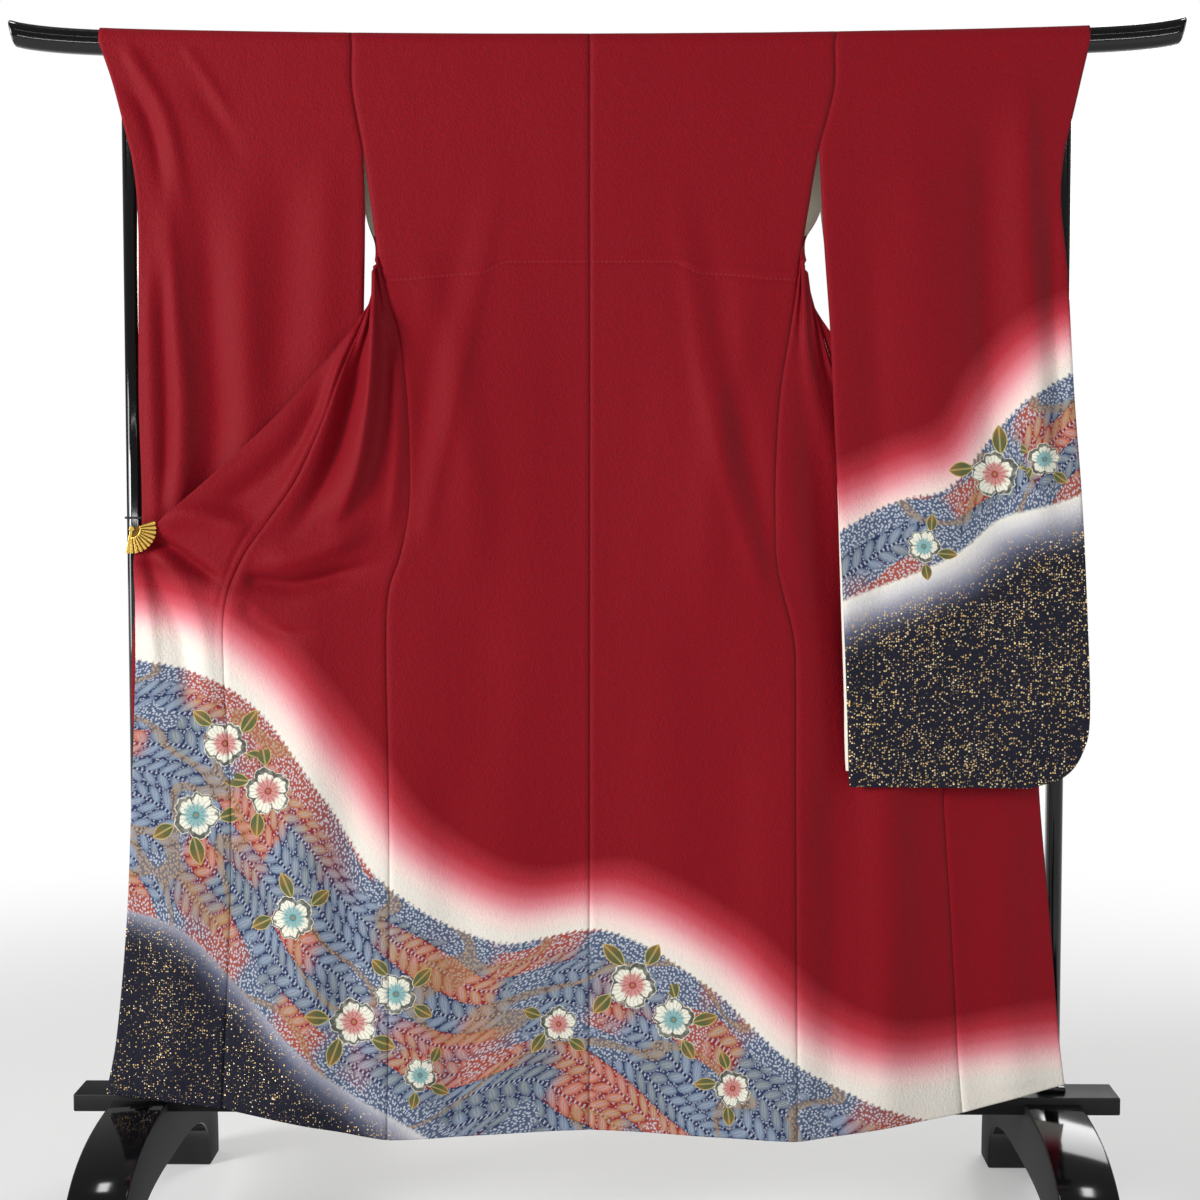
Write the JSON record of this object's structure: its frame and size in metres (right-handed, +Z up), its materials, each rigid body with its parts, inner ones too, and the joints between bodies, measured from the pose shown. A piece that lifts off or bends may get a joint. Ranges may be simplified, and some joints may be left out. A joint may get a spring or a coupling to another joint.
{
  "type": "furisode kimono on a kimono stand",
  "caption": "Long-sleeved formal kimono hung back to the front over the bar of a lacquered kimono stand, one front drawn aside and clipped to a post.",
  "frame": {"origin": "on the floor, midway between the two feet, under the bar's middle", "axes": "+Z up, +X to the right as the garment's back is looked at, -Y towards the viewer of its back"},
  "size_m": [1.547, 0.66, 1.6201],
  "materials": {
    "lacquer": "gloss black lacquer",
    "satin_black": "satin black paint",
    "silk": "crepe silk, dyed with shaded grounds, a flowing leaf band and gold flecks",
    "gilt": "polished gilt",
    "elastic": "matt black elastic cord"
  },
  "bodies": {
    "root": {"bar": "lacquer", "post_left": "lacquer", "post_right": "lacquer", "ferrule_left": "lacquer", "ferrule_right": "lacquer", "foot_left": "lacquer", "foot_right": "lacquer", "base_beam": "satin_black", "back_left": "silk", "back_right": "silk", "front_left": "silk", "front_right": "silk", "overlap_left": "silk", "overlap_right": "silk", "sleeve_left": "silk", "sleeve_right": "silk", "collar": "silk", "clip_fan": "gilt", "clip_jaw": "gilt", "clip_band": "elastic"}
  },
  "joints": []
}
